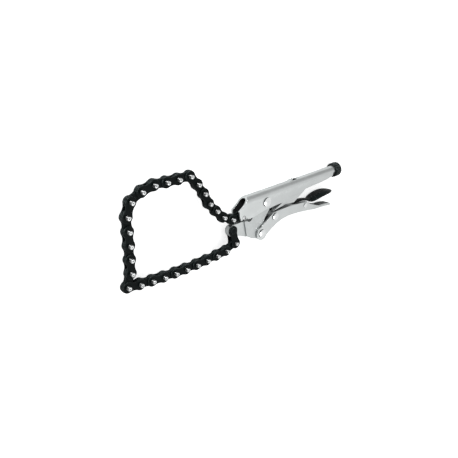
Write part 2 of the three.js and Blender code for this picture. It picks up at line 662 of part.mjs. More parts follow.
function routeEnd(headings) {
  const anchor = new THREE.Vector2(ANCHOR_X, ANCHOR_Y);
  return headings.reduce((point, heading, link) => point.add(linkStep(link, heading)), anchor);
}

// Leans the long lower run and the rising run until the last pin lies in the hook slot
function closedHeadings() {
  let headings = routeHeadings();
  const lean = (angles, [from, to], angle) =>
    angles.map((heading, link) => heading + (link >= from && link <= to ? angle : 0));
  for (let round = 0; round < CLOSING_ROUNDS; round += 1) {
    const end = routeEnd(headings);
    const miss = new THREE.Vector2(HOOK_X, HOOK_Y).sub(end);
    const first = routeEnd(lean(headings, LOWER_RUN, CLOSING_PROBE)).sub(end).divideScalar(CLOSING_PROBE);
    const second = routeEnd(lean(headings, RISING_RUN, CLOSING_PROBE)).sub(end).divideScalar(CLOSING_PROBE);
    const area = first.cross(second);
    const leaned = lean(headings, LOWER_RUN, miss.cross(second) / area);
    headings = lean(leaned, RISING_RUN, first.cross(miss) / area);
  }
  return headings;
}

function chain() {
  const first = geometryOf(firstLink());
  const outer = geometryOf(outerLink());
  const inner = geometryOf(innerLink());
  const point = new THREE.Vector2(ANCHOR_X, ANCHOR_Y);
  closedHeadings().forEach((heading, link) => {
    const geometry = link === 0 ? first : link % 2 ? inner : outer;
    const mesh = new THREE.Mesh(geometry, blackOxide);
    mesh.name = `chain_link_${String(link + 1).padStart(2, '0')}`;
    mesh.position.set(point.x, point.y, 0);
    mesh.rotation.z = THREE.MathUtils.degToRad(heading);
    flat.add(mesh);
    point.add(linkStep(link, heading));
  });
}

handle();
jaw();
mainLever();
toggleLink();
releaseLever();
screwAndKnob();
spring();
chain();

// Set the tool down: the middle of its footprint over the origin and its lowest point on the ground
flat.updateMatrixWorld(true);
const bounds = new THREE.Box3().setFromObject(flat, true);
const centre = bounds.getCenter(new THREE.Vector3());
group.position.set(-centre.x, -centre.y, -bounds.min.z);

export default group;
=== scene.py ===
"""Chain clamp: locking pliers with a roller chain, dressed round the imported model, on a plain pale stage.

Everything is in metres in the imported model's own frame: +X towards the adjusting knob, +Y towards the
handle's back, +Z along the rivets. The tool lies on its side on the floor.
"""
import json
import math

import bmesh
import bpy
from bpy.props import FloatProperty, FloatVectorProperty, IntProperty, PointerProperty
from mathutils import Matrix, Vector


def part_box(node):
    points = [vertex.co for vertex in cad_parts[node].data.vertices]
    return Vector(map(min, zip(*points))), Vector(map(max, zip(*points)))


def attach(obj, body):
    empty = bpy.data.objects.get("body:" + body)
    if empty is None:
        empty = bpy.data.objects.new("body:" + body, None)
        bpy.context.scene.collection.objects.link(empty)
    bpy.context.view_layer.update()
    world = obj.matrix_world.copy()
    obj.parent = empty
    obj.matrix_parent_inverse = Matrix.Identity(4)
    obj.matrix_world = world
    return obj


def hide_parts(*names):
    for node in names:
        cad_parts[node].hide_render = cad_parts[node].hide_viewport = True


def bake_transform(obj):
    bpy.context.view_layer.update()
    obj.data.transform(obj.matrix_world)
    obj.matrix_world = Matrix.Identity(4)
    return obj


bl_info = {
    "name": "Chain clamp",
    "version": (1, 0, 0),
    "blender": (4, 5, 0),
    "location": "View3D > Sidebar > Clamp",
    "description": "Dresses the chain clamp's chain, handle, jaw, levers, rivets, knob and stage",
    "category": "Object",
}

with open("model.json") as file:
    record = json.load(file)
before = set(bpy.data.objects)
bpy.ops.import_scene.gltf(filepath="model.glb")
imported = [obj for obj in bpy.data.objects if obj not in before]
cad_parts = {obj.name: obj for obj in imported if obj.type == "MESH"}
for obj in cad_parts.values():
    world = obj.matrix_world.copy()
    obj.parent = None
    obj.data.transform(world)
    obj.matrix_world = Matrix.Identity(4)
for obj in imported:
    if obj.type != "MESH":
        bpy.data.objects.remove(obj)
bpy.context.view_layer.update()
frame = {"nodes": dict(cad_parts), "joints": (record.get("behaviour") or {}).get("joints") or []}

MM = 0.001
FULL_TURN = 2 * math.pi
# Points nearer to each other than this are merged
MERGE = 0.002 * MM
Z_AXIS = (0, 0, 1)


def node_middle(node):
    """The middle of a CAD node's box at rest."""
    low, high = (Vector(corner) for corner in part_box(node))
    return (low + high) / 2


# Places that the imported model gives: the jaw's pivot is where the tool's own sizes are measured from
PIVOT = node_middle("jaw_pivot_rivet")
JOINT_PLACES = {joint["child"]: Vector(joint["pos_m"]) for joint in frame["joints"] if "pos_m" in joint}
LINK_COUNT = sum(name.startswith("chain_link") for name in frame["nodes"])


def from_pivot(x, y, z=0.0):
    """A point given in millimetres from the jaw's pivot."""
    return PIVOT + Vector((x, y, z)) * MM


HOOKED_PIN = from_pivot(-41.0, -9.5)
RELEASE_PIVOT = JOINT_PLACES["release"]
# The links up to this one hang from the jaw's tongue, and the later ones from the hooked link
NEAR_LINKS = 14
TUBE_CENTRE = node_middle("adjusting_screw")


# Sizes and colours that a user would change

def length(name, millimetres, description):
    """A length property, given in millimetres and kept in metres."""
    return FloatProperty(name=name, description=description, default=millimetres * MM, unit="LENGTH",
                         precision=5)


def colour(name, value, description):
    """A colour property."""
    return FloatVectorProperty(name=name, description=description, default=value, subtype="COLOR", size=3,
                               min=0.0, max=1.0)


class ChainSizes(bpy.types.PropertyGroup):
    """Plates, bushes and pins of the roller chain."""

    plate: length("Plate thickness", 1.4, "Thickness of every link plate")
    inner_low: length("Inner plate height", 0.4, "From the chain's middle to an inner plate")
    outer_low: length("Outer plate height", 2.0, "From the chain's middle to an outer plate")
    first_low: length("First plate height", 3.1, "From the middle to a plate of the first, wider link")
    inner_head: length("Inner head radius", 6.68, "Radius of an inner plate round its bush")
    outer_head: length("Outer head radius", 6.4, "Radius of an outer plate round its pin")
    inner_waist: length("Inner waist", 4.9, "Half the width of an inner plate at its waist")
    outer_waist: length("Outer waist", 4.6, "Half the width of an outer plate at its waist")
    pin_radius: length("Pin radius", 2.4, "Radius of the long pins")
    pin_reach: length("Pin reach", 7.2, "From the chain's middle to a pin's end")
    pin_chamfer: length("Pin chamfer", 0.5, "Chamfer round a pin's end")
    pin_dimple: length("Pin dimple", 0.9, "Radius of the centre dimple in a pin's end")
    bush_radius: length("Bush radius", 4.2, "Radius of a bush between two inner plates")
    rim: length("Plate rim", 0.28, "Rounding along the edge of a plate")


class BodySizes(bpy.types.PropertyGroup):
    """Edge rounding of the handle, jaw and levers."""

    sheet_edge: length("Sheet edge", 0.45, "Rounding along the cut edges of the folded sheet")
    forged_edge: length("Forged edge", 0.6, "Rounding along the edges of the jaw")
    small_edge: length("Small edge", 0.3, "Rounding along the edges of the small levers")
    edge_steps: IntProperty(name="Edge steps", description="Faces across a rounded edge", default=3,
                            min=1, max=6)
    inner_half: length("Inner half width", 4.9, "From the middle to just past a folded sheet's inner wall")


class RivetSizes(bpy.types.PropertyGroup):
    """Domed rivet heads."""

    brim: length("Head brim", 1.1, "Height of a rivet head's upright brim")
    sides: IntProperty(name="Sides", description="Faces round a rivet", default=40, min=12, max=96)


class KnobSizes(bpy.types.PropertyGroup):
    """Adjusting knob and screw."""

    knob_radius: length("Knob radius", 10.16, "Radius of the adjusting knob")
    knob_length: length("Knob length", 7.2, "Length of the adjusting knob past the tube's end")
    skirt: length("Knob skirt", 3.6, "How far the knob reaches back over the tube's end")
    bore: length("Skirt bore", 7.9, "Radius inside the knob's skirt")
    flute_depth: length("Flute depth", 0.5, "Depth of the grip flutes")
    flutes: IntProperty(name="Flutes", description="Grip flutes round the knob", default=18, min=8, max=80)
    chamfer: length("Knob chamfer", 0.9, "Chamfer at both ends of the knob")
    dish: length("Knob dish", 0.5, "Depth of the dish in the knob's end")
    screw_radius: length("Screw radius", 4.4, "Outer radius of the thread")
    thread_pitch: length("Thread pitch", 1.5, "Advance of the thread in one turn")


class SpringSizes(bpy.types.PropertyGroup):
    """Tension spring."""

    wire: length("Wire radius", 0.55, "Radius of the spring's wire")
    coil: length("Coil radius", 2.65, "From the coil's axis to the middle of the wire")
    turns: IntProperty(name="Turns", description="Turns of the coil", default=22, min=6, max=40)


class FinishColours(bpy.types.PropertyGroup):
    """Colours of the finishes."""

    nickel: colour("Satin nickel", (0.63, 0.655, 0.652), "Plated sheet of the upper handle")
    lever: colour("Polished nickel", (0.635, 0.66, 0.657), "Plated sheet of the main lever")
    forged: colour("Forged steel", (0.505, 0.527, 0.525), "Jaw and small levers")
    bright: colour("Bright steel", (0.84, 0.86, 0.86), "Rivets, screw and spring")
    # The inside colour is painted shade: a dark copy of the plated metal on the folded sheets' inner walls
    inside: colour("Dull inside", (0.11, 0.117, 0.117), "Inner walls of the folded sheet")
    oxide: colour("Black oxide", (0.0028, 0.0055, 0.0055), "Chain and knob")
    worn: colour("Worn edge", (0.11, 0.125, 0.125), "Steel that shows where the black has rubbed off")
    grip: colour("Dipped grip", (0.0035, 0.006, 0.006), "Coating on the release lever")
    floor: colour("Floor", (0.92, 0.93, 0.93), "Pale floor")


class StageSizes(bpy.types.PropertyGroup):
    """Camera and lights."""

    focal: FloatProperty(name="Focal length", description="Camera focal length", default=40.87,
                         unit="CAMERA")
    sensor: FloatProperty(name="Sensor width", description="Camera sensor width", default=36.0,
                          unit="CAMERA")
    floor_side: length("Floor side", 6000, "Side of the square floor")
    room: FloatProperty(name="Room light", description="Strength of the room's light on the object",
                        default=0.62)
    walls: FloatProperty(name="Room in metal", description="Strength of the room seen in shiny metal",
                         default=0.85)
    key: FloatProperty(name="Key light", description="Power of the lamp in front", default=1.8,
                       unit="POWER")
    rim: FloatProperty(name="Rim light", description="Power of the low lamp behind", default=14.0,
                       unit="POWER")


GROUPS = {
    "chain": ChainSizes, "body": BodySizes, "rivet": RivetSizes, "knob": KnobSizes, "spring": SpringSizes,
    "finish": FinishColours, "stage": StageSizes,
}


def sizes(group):
    """The values of one property group on the scene."""
    return getattr(bpy.context.scene, f"clamp_{group}")


# Mesh helpers, with angles in radians: what counts as a sharp edge, a flat seam and an edge to round,
# and from where the shading breaks
SHARP = 0.9
FLAT = math.radians(1.0)
EDGE_ANGLE = math.radians(32)
CREASE = 0.6
# How far a face of the folded sheet has to look inwards to count as an inner wall, which gets painted shade
INWARD = 0.3


def arc_of(bm, vert, centre, angle, steps):
    """Carries a vertex round a centre in the XY plane and gives the last vertex of the arc it leaves."""
    swept = bmesh.ops.spin(bm, geom=[vert], cent=centre, axis=Z_AXIS, angle=angle, steps=steps,
                           use_duplicate=False)
    return next(item for item in swept["geom_last"] if isinstance(item, bmesh.types.BMVert))


def rounded(bm, offset):
    """Rounds the sharp edges of a closed mesh."""
    edges = [edge for edge in bm.edges if len(edge.link_faces) == 2 and edge.calc_face_angle() > SHARP]
    bmesh.ops.bevel(bm, geom=edges, offset=offset, offset_type="OFFSET", affect="EDGES", segments=2,
                    profile=0.5, material=-1, clamp_overlap=True)


def thickened(bm, faces, vector):
    """Extrudes faces along a vector into a closed solid."""
    grown = bmesh.ops.extrude_face_region(bm, geom=faces, use_keep_orig=True)
    verts = [item for item in grown["geom"] if isinstance(item, bmesh.types.BMVert)]
    bmesh.ops.translate(bm, verts=verts, vec=vector)
    bmesh.ops.recalc_face_normals(bm, faces=bm.faces)


def extruded(bm, places):
    """Extrudes a unit ring through places that give its size and position, and closes both ends."""
    first = bm.edges[:]
    ring = first
    bmesh.ops.transform(bm, matrix=places[0], verts=bm.verts)
    for last, place in zip(places, places[1:]):
        grown = bmesh.ops.extrude_edge_only(bm, edges=ring)["geom"]
        verts = [item for item in grown if isinstance(item, bmesh.types.BMVert)]
        ring = [item for item in grown if isinstance(item, bmesh.types.BMEdge)]
        bmesh.ops.transform(bm, matrix=place @ last.inverted(), verts=verts)
    for loop in (first, ring):
        bmesh.ops.contextual_create(bm, geom=loop)
    bmesh.ops.recalc_face_normals(bm, faces=bm.faces)
    return bm


def turned(profile, sides, place=Matrix.Identity(4)):
    """Spins a profile of (radius, height) pairs in millimetres round Z."""
    bm = bmesh.new()
    verts = [bm.verts.new((radius * MM, 0, height * MM)) for radius, height in profile]
    edges = [bm.edges.new(pair) for pair in zip(verts, verts[1:])]
    bmesh.ops.spin(bm, geom=verts + edges, cent=(0, 0, 0), axis=Z_AXIS, angle=FULL_TURN, steps=sides,
                   use_merge=True)
    bmesh.ops.remove_doubles(bm, verts=bm.verts, dist=MERGE)
    bmesh.ops.recalc_face_normals(bm, faces=bm.faces)
    bmesh.ops.transform(bm, matrix=place, verts=bm.verts)
    return bm


def mirrored_profile(profile):
    """A profile above the middle plane, continued below it."""
    return [(radius, -height) for radius, height in reversed(profile)] + profile


def gathered(parts):
    """Joins several meshes, each a solid of its own, into one."""
    whole = bmesh.new()
    for part in parts:
        holder = bpy.data.meshes.new("part")
        part.to_mesh(holder)
        part.free()
        whole.from_mesh(holder)
        bpy.data.meshes.remove(holder)
    return whole


def object_from(bm, name, material, crease=CREASE):
    """Makes an object of a mesh, shaded smooth across all but its sharp edges."""
    mesh = bpy.data.meshes.new(name)
    bm.to_mesh(mesh)
    bm.free()
    mesh.shade_smooth()
    mesh.set_sharp_from_angle(angle=crease)
    mesh.materials.append(material)
    made = bpy.data.objects.new(name, mesh)
    bpy.context.collection.objects.link(made)
    return made


def piece_from(bm, name, material, body, nodes, crease=CREASE):
    """Makes a finished piece of a mesh and ties it to the frame."""
    piece = object_from(bm, name, material, crease)
    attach(piece, body)
    if nodes:
        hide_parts(*nodes)
    return piece


def painted_inside_shade(bm, open_side):
    """Gives painted shade, the second material, to a folded sheet's inner walls and to the bend across from
    its opening.
    """
    gap = sizes("body").inner_half
    for face in bm.faces:
        side = face.calc_center_median().z - PIVOT.z
        inward = -math.copysign(face.normal.z, face.normal.z * side)
        if abs(side) < gap and max(inward, face.normal.y * open_side) > INWARD:
            face.material_index = 1


def rounded_copy(node, name, material, body, edge, open_side=0):
    """A merged copy of a CAD solid with its edges rounded; a folded sheet opens towards +Y or -Y."""
    bm = bmesh.new()
    bm.from_mesh(frame["nodes"][node].data)
    bmesh.ops.remove_doubles(bm, verts=bm.verts, dist=MERGE)
    bmesh.ops.dissolve_limit(bm, angle_limit=FLAT, verts=bm.verts, edges=bm.edges,
                             use_dissolve_boundaries=False)
    if open_side:
        painted_inside_shade(bm, open_side)
    piece = piece_from(bm, name, material, body, [node])
    if open_side:
        # The second material darkens the inner walls as painted shade
        piece.data.materials.append(bpy.data.materials["Dull inside"])
    rim = piece.modifiers.new("Rounded edges", "BEVEL")
    rim.width = edge
    rim.segments = sizes("body").edge_steps
    rim.limit_method = "ANGLE"
    rim.angle_limit = EDGE_ANGLE
    rim.harden_normals = True
    return piece


# Shader node groups that several finishes use

def new_group(name, inputs, outputs):
    """An empty shader node group with named sockets."""
    group = bpy.data.node_groups.new(name, "ShaderNodeTree")
    for label, kind, default in inputs:
        socket = group.interface.new_socket(name=label, in_out="INPUT", socket_type=kind)
        if default is not None:
            socket.default_value = default
    for label, kind in outputs:
        group.interface.new_socket(name=label, in_out="OUTPUT", socket_type=kind)
    return group, group.nodes.new("NodeGroupInput"), group.nodes.new("NodeGroupOutput")


def node(tree, kind, **values):
    """Adds a node and sets its properties, and its inputs where a value's key is a socket's name."""
    made = tree.nodes.new(kind)
    for key, value in values.items():
        if hasattr(made, key):
            setattr(made, key, value)
        else:
            made.inputs[key.replace("_", " ")].default_value = value
    return made


def ranged(tree, source, low, high, to_low=0.0, to_high=1.0):
    """Maps a value from one range to another, clamped."""
    mapped = node(tree, "ShaderNodeMapRange", From_Min=low, From_Max=high, To_Min=to_low, To_Max=to_high)
    tree.links.new(source, mapped.inputs["Value"])
    return mapped.outputs["Result"]


def multiplied(tree, first, second):
    """The product of two values, either of which may be a plain number."""
    product = node(tree, "ShaderNodeMath", operation="MULTIPLY")
    for socket, value in zip(product.inputs, (first, second)):
        if isinstance(value, (int, float)):
            socket.default_value = value
        else:
            tree.links.new(value, socket)
    return product.outputs[0]


def grain_group():
    """Fine plated grain: a tone that drifts over the surface, and a normal with the grain in it."""
    group, given, out = new_group(
        "Plated grain",
        [("Coordinates", "NodeSocketVector", None), ("Fine Scale", "NodeSocketFloat", 1800.0),
         ("Patch Scale", "NodeSocketFloat", 60.0), ("Depth", "NodeSocketFloat", 0.1)],
        [("Tone", "NodeSocketFloat"), ("Normal", "NodeSocketVector")],
    )
    fine = node(group, "ShaderNodeTexNoise", Detail=3.0, Roughness=0.6)
    patch = node(group, "ShaderNodeTexNoise", Detail=4.0, Roughness=0.55)
    for texture, scale in ((fine, "Fine Scale"), (patch, "Patch Scale")):
        group.links.new(given.outputs["Coordinates"], texture.inputs["Vector"])
        group.links.new(given.outputs[scale], texture.inputs["Scale"])
    group.links.new(ranged(group, patch.outputs["Fac"], low=0.3, high=0.7), out.inputs["Tone"])
    bump = node(group, "ShaderNodeBump", Distance=0.05 * MM)
    group.links.new(given.outputs["Depth"], bump.inputs["Strength"])
    group.links.new(fine.outputs["Fac"], bump.inputs["Height"])
    group.links.new(bump.outputs["Normal"], out.inputs["Normal"])
    return group


def scuff_group():
    """Long thin handling scratches in two directions."""
    group, given, out = new_group(
        "Handling scuffs",
        [("Coordinates", "NodeSocketVector", None), ("Scale", "NodeSocketFloat", 220.0),
         ("Amount", "NodeSocketFloat", 0.5)],
        [("Mask", "NodeSocketFloat")],
    )
    lines = []
    for turn, stretch in ((0.35, 0.05), (-0.9, 0.08)):
        lay = node(group, "ShaderNodeMapping", vector_type="POINT")
        lay.inputs["Rotation"].default_value = (0.0, 0.0, turn)
        lay.inputs["Scale"].default_value = (stretch, 1.0, 1.0)
        group.links.new(given.outputs["Coordinates"], lay.inputs["Vector"])
        texture = node(group, "ShaderNodeTexNoise", Detail=2.0, Roughness=0.5)
        group.links.new(lay.outputs["Vector"], texture.inputs["Vector"])
        group.links.new(given.outputs["Scale"], texture.inputs["Scale"])
        lines.append(ranged(group, texture.outputs["Fac"], low=0.64, high=0.70))
    both = node(group, "ShaderNodeMath", operation="MAXIMUM")
    group.links.new(lines[0], both.inputs[0])
    group.links.new(lines[1], both.inputs[1])
    group.links.new(multiplied(group, both.outputs[0], given.outputs["Amount"]), out.inputs["Mask"])
    return group


def wear_group():
    """Rubbed corners: the surface's pointed places, broken up by noise."""
    group, given, out = new_group(
        "Rubbed edges",
        [("Coordinates", "NodeSocketVector", None), ("Scale", "NodeSocketFloat", 420.0),
         ("Amount", "NodeSocketFloat", 0.8)],
        [("Mask", "NodeSocketFloat")],
    )
    shape = node(group, "ShaderNodeNewGeometry")
    edge = ranged(group, shape.outputs["Pointiness"], low=0.51, high=0.58)
    patch = node(group, "ShaderNodeTexNoise", Detail=4.0, Roughness=0.7)
    group.links.new(given.outputs["Coordinates"], patch.inputs["Vector"])
    group.links.new(given.outputs["Scale"], patch.inputs["Scale"])
    patched = ranged(group, patch.outputs["Fac"], low=0.38, high=0.62)
    broken = multiplied(group, edge, patched)
    group.links.new(multiplied(group, broken, given.outputs["Amount"]), out.inputs["Mask"])
    return group


# Finishes, as shares of a colour: a metal's darker patches, rubbed edges and scratches, then a pin's shank
# at its darkest and lightest, and its ground ends
PATCHED, RUBBED, SCORED = 0.95, 1.12, 0.84
SHANK_DARK, SHANK_LIGHT, GROUND = 0.25, 0.35, 0.95
# How far in from a pin's end its ground face begins and is whole; inside that, the chamfer and the dimple
# stay dark, as unground finish and painted shade
GROUND_FROM = 0.12 * MM
GROUND_FULL = 0.04 * MM


def new_material(name):
    """A material with its shader, and the coordinates that its patterns read."""
    material = bpy.data.materials.new(name)
    material.use_nodes = True
    tree = material.node_tree
    shader = tree.nodes["Principled BSDF"]
    place = tree.nodes.new("ShaderNodeTexCoord").outputs["Object"]
    return material, tree, shader, place


def placed_group(tree, group, place, **values):
    """Puts a node group in a material with its own values."""
    made = tree.nodes.new("ShaderNodeGroup")
    made.node_tree = bpy.data.node_groups[group]
    tree.links.new(place, made.inputs["Coordinates"])
    for key, value in values.items():
        made.inputs[key.replace("_", " ")].default_value = value
    return made


def mixed_colour(tree, mask, first, second):
    """A colour that goes from the first to the second with a mask; either may be a plain colour."""
    mix = node(tree, "ShaderNodeMix", data_type="RGBA")
    tree.links.new(mask, mix.inputs["Factor"])
    for socket, value in (("A", first), ("B", second)):
        target = [item for item in mix.inputs if item.name == socket and item.type == "RGBA"][0]
        if isinstance(value, bpy.types.NodeSocket):
            tree.links.new(value, target)
        else:
            target.default_value = (*value, 1.0)
    return [item for item in mix.outputs if item.type == "RGBA"][0]


def scaled(tint, share):
    """A colour made darker or lighter by a share."""
    return tuple(min(1.0, channel * share) for channel in tint)


def surfaced(tree, shader, grained, rough):
    """Lets a finish's roughness drift with its tone, and puts the fine grain in its surface."""
    tree.links.new(ranged(tree, grained.outputs["Tone"], 0.0, 1.0, *rough), shader.inputs["Roughness"])
    tree.links.new(grained.outputs["Normal"], shader.inputs["Normal"])


def metal_finish(name, tint, rough, grain, scuffs, wear):
    """A plated metal: drifting tone, fine grain, scratches, and brighter rubbed edges."""
    material, tree, shader, place = new_material(name)
    grained = placed_group(tree, "Plated grain", place, **grain)
    scratched = placed_group(tree, "Handling scuffs", place, **scuffs)
    rubbed = placed_group(tree, "Rubbed edges", place, **wear)
    toned = mixed_colour(tree, grained.outputs["Tone"], scaled(tint, PATCHED), tint)
    edged = mixed_colour(tree, rubbed.outputs["Mask"], toned, scaled(tint, RUBBED))
    scored = mixed_colour(tree, scratched.outputs["Mask"], edged, scaled(tint, SCORED))
    tree.links.new(scored, shader.inputs["Base Color"])
    surfaced(tree, shader, grained, rough)
    shader.inputs["Metallic"].default_value = 1.0
    return material


def oxide_finish(name, rough, wear):
    """Oiled black oxide on steel, rubbed to grey along the corners."""
    tints = sizes("finish")
    material, tree, shader, place = new_material(name)
    grained = placed_group(tree, "Plated grain", place, Fine_Scale=1400.0, Patch_Scale=150.0, Depth=0.25)
    rubbed = placed_group(tree, "Rubbed edges", place, **wear)
    toned = mixed_colour(tree, grained.outputs["Tone"], scaled(tints.oxide, 0.7), tuple(tints.oxide))
    edged = mixed_colour(tree, rubbed.outputs["Mask"], toned, tuple(tints.worn))
    tree.links.new(edged, shader.inputs["Base Color"])
    surfaced(tree, shader, grained, rough)
    shader.inputs["Specular IOR Level"].default_value = 0.05
    return material


def pin_finish(name):
    """Chain pins: dull along the shank, dark in the dimples and round the chamfers as unground finish and
    painted shade, and ground bright at both ends.
    """
    chain = sizes("chain")
    tints = sizes("finish")
    material, tree, shader, place = new_material(name)
    grained = placed_group(tree, "Plated grain", place, Fine_Scale=1400.0, Patch_Scale=220.0, Depth=0.15)
    height = tree.nodes.new("ShaderNodeSeparateXYZ")
    tree.links.new(place, height.inputs[0])
    above = node(tree, "ShaderNodeMath", operation="SUBTRACT")
    above.inputs[1].default_value = PIVOT.z
    tree.links.new(height.outputs["Z"], above.inputs[0])
    away = node(tree, "ShaderNodeMath", operation="ABSOLUTE")
    tree.links.new(above.outputs[0], away.inputs[0])
    end = chain.pin_reach
    # Most of the chamfer and the dimple fall short of this mask and keep the shank's dark colour, partly as
    # painted shade
    ground = ranged(tree, away.outputs[0], end - GROUND_FROM, end - GROUND_FULL)
    dark, light, bright = (scaled(tints.bright, share) for share in (SHANK_DARK, SHANK_LIGHT, GROUND))
    shank = mixed_colour(tree, grained.outputs["Tone"], dark, light)
    tree.links.new(mixed_colour(tree, ground, shank, bright), shader.inputs["Base Color"])
    rough = ranged(tree, ground, 0.0, 1.0, to_low=0.36, to_high=0.40)
    tree.links.new(rough, shader.inputs["Roughness"])
    shader.inputs["Metallic"].default_value = 1.0
    # The turning marks run round the shank, so its gleam is drawn out along it
    shader.inputs["Anisotropic"].default_value = 0.9
    lengthwise = node(tree, "ShaderNodeCombineXYZ", X=0.1, Y=0.0, Z=1.0)
    tree.links.new(lengthwise.outputs[0], shader.inputs["Tangent"])
    tree.links.new(grained.outputs["Normal"], shader.inputs["Normal"])
    return material


def grip_finish(name):
    """Dipped plastic coating with a soft orange-peel skin."""
    tints = sizes("finish")
    material, tree, shader, place = new_material(name)
    grained = placed_group(tree, "Plated grain", place, Fine_Scale=700.0, Patch_Scale=90.0, Depth=0.5)
    toned = mixed_colour(tree, grained.outputs["Tone"], scaled(tints.grip, 0.75), tuple(tints.grip))
    tree.links.new(toned, shader.inputs["Base Color"])
    surfaced(tree, shader, grained, (0.42, 0.54))
    shader.inputs["Specular IOR Level"].default_value = 0.10
    return material


def make_finishes():
    """Builds the node groups and every finish once."""
    grain_group()
    scuff_group()
    wear_group()
    tints = sizes("finish")
    plated = ({"Fine_Scale": 2200.0, "Patch_Scale": 45.0, "Depth": 0.10},
              {"Scale": 260.0, "Amount": 0.35}, {"Scale": 300.0, "Amount": 0.7})
    metal_finish("Satin nickel", tuple(tints.nickel), (0.27, 0.36), *plated)
    metal_finish("Polished nickel", tuple(tints.lever), (0.25, 0.34), *plated)
    # Painted shade for the folded sheets' inner walls, as a darkened copy of the plated metal
    metal_finish("Dull inside", tuple(tints.inside), (0.50, 0.62),
                 {"Fine_Scale": 1500.0, "Patch_Scale": 70.0, "Depth": 0.20},
                 {"Scale": 300.0, "Amount": 0.3}, {"Scale": 300.0, "Amount": 0.4})
    metal_finish("Forged steel", tuple(tints.forged), (0.32, 0.44),
                 {"Fine_Scale": 1300.0, "Patch_Scale": 80.0, "Depth": 0.22},
                 {"Scale": 320.0, "Amount": 0.3}, {"Scale": 380.0, "Amount": 0.8})
    metal_finish("Bright steel", tuple(tints.bright), (0.16, 0.24),
                 {"Fine_Scale": 2600.0, "Patch_Scale": 120.0, "Depth": 0.05},
                 {"Scale": 420.0, "Amount": 0.25}, {"Scale": 420.0, "Amount": 0.5})
    oxide_finish("Chain black", (0.30, 0.46), {"Scale": 520.0, "Amount": 0.5})
    oxide_finish("Knob black", (0.34, 0.48), {"Scale": 360.0, "Amount": 0.35})
    pin_finish("Pin steel")
    grip_finish("Dipped grip")


# Chain: how many faces go round a plate's head, along its waist, and round a pin or bush
HEAD_STEPS = 18
WAIST_STEPS = 6
TURNED_SIDES = 28
# A pin's end, as shares: how far in and down the chamfer's points lie, then out and down the dimple's
CHAMFER_SHARES = [(0, 1), (0.35, 0.3), (1, 0)]
DIMPLE_SHARES = [(1, 0), (0.7, 0.35), (0, 0.5)]
# A bush's rolled edge, and how far the bush stands proud of its plates, in millimetres
ROLLED = 0.25
PROUD = 0.04


def plate_solid(pitch, head, waist, low, thick, rim):
    """A figure-of-eight plate along X: two round heads joined by two hollow waists."""
    bm = bmesh.new()
    half = pitch / 2
    hollow = (half ** 2 + waist ** 2 - head ** 2) / (2 * (head - waist))
    away = waist + hollow
    lean = math.atan2(away, half)
    first = bm.verts.new((head * math.cos(lean), head * math.sin(lean), 0))
    last = arc_of(bm, first, (0, 0, 0), FULL_TURN - 2 * lean, HEAD_STEPS)
    last = arc_of(bm, last, (half, -away, 0), 2 * lean - math.pi, WAIST_STEPS)
    last = arc_of(bm, last, (pitch, 0, 0), FULL_TURN - 2 * lean, HEAD_STEPS)
    arc_of(bm, last, (half, away, 0), 2 * lean - math.pi, WAIST_STEPS)
    bmesh.ops.remove_doubles(bm, verts=bm.verts, dist=MERGE)
    face = bmesh.ops.contextual_create(bm, geom=bm.edges[:])["faces"]
    thickened(bm, face, (0, 0, thick))
    rounded(bm, rim)
    flats = [item for item in bm.faces if len(item.verts) > 4]
    bmesh.ops.inset_individual(bm, faces=flats, thickness=rim, use_even_offset=True)
    bmesh.ops.translate(bm, verts=bm.verts, vec=(0, 0, low))
    return bm


def plate_pair(pitch, head, waist, low):
    """Two plates, one each side of the chain's middle."""
    chain = sizes("chain")
    upper = plate_solid(pitch, head, waist, low, chain.plate, chain.rim)
    lower = plate_solid(pitch, head, waist, -low - chain.plate, chain.plate, chain.rim)
    return gathered([upper, lower])


def pin_solid(x):
    """A long pin with chamfered ends and a centre dimple in each."""
    chain = sizes("chain")
    radius, reach = chain.pin_radius / MM, chain.pin_reach / MM
    chamfer, dimple = chain.pin_chamfer / MM, chain.pin_dimple / MM
    edge = [(radius - chamfer * inwards, reach - chamfer * down) for inwards, down in CHAMFER_SHARES]
    hollow = [(dimple * out, reach - dimple * down) for out, down in DIMPLE_SHARES]
    profile = mirrored_profile([(radius, 0), *edge, *hollow])
    return turned(profile, TURNED_SIDES, Matrix.Translation((x, 0, 0)))


def bush_solid(x):
    """A bush between two inner plates, with a rolled edge at each end."""
    chain = sizes("chain")
    radius, reach = chain.bush_radius / MM, (chain.inner_low + chain.plate) / MM
    end = reach + PROUD
    profile = mirrored_profile([(radius, 0), (radius, reach - ROLLED), (radius - ROLLED, end), (0, end)])
    return turned(profile, TURNED_SIDES, Matrix.Translation((x, 0, 0)))


def pin_places():
    """The chain's pins in order, from the tongue to the handle's hook slot."""
    near = [JOINT_PLACES[f"link_{number:02d}"] for number in range(1, NEAR_LINKS + 1)]
    far = [JOINT_PLACES[f"link_{number:02d}"] for number in range(NEAR_LINKS + 1, LINK_COUNT)]
    meeting = 2 * node_middle(f"chain_link_{NEAR_LINKS + 1:02d}") - far[0]
    return [*near, meeting, *far, HOOKED_PIN]


def link_place(index):
    """Where a link lies: its first pin's place and its heading towards the next, and how far that is."""
    start, end = pin_places()[index:index + 2]
    along = end - start
    heading = Matrix.Rotation(math.atan2(along.y, along.x), 4, "Z")
    return Matrix.Translation((start.x, start.y, PIVOT.z)) @ heading, along.xy.length


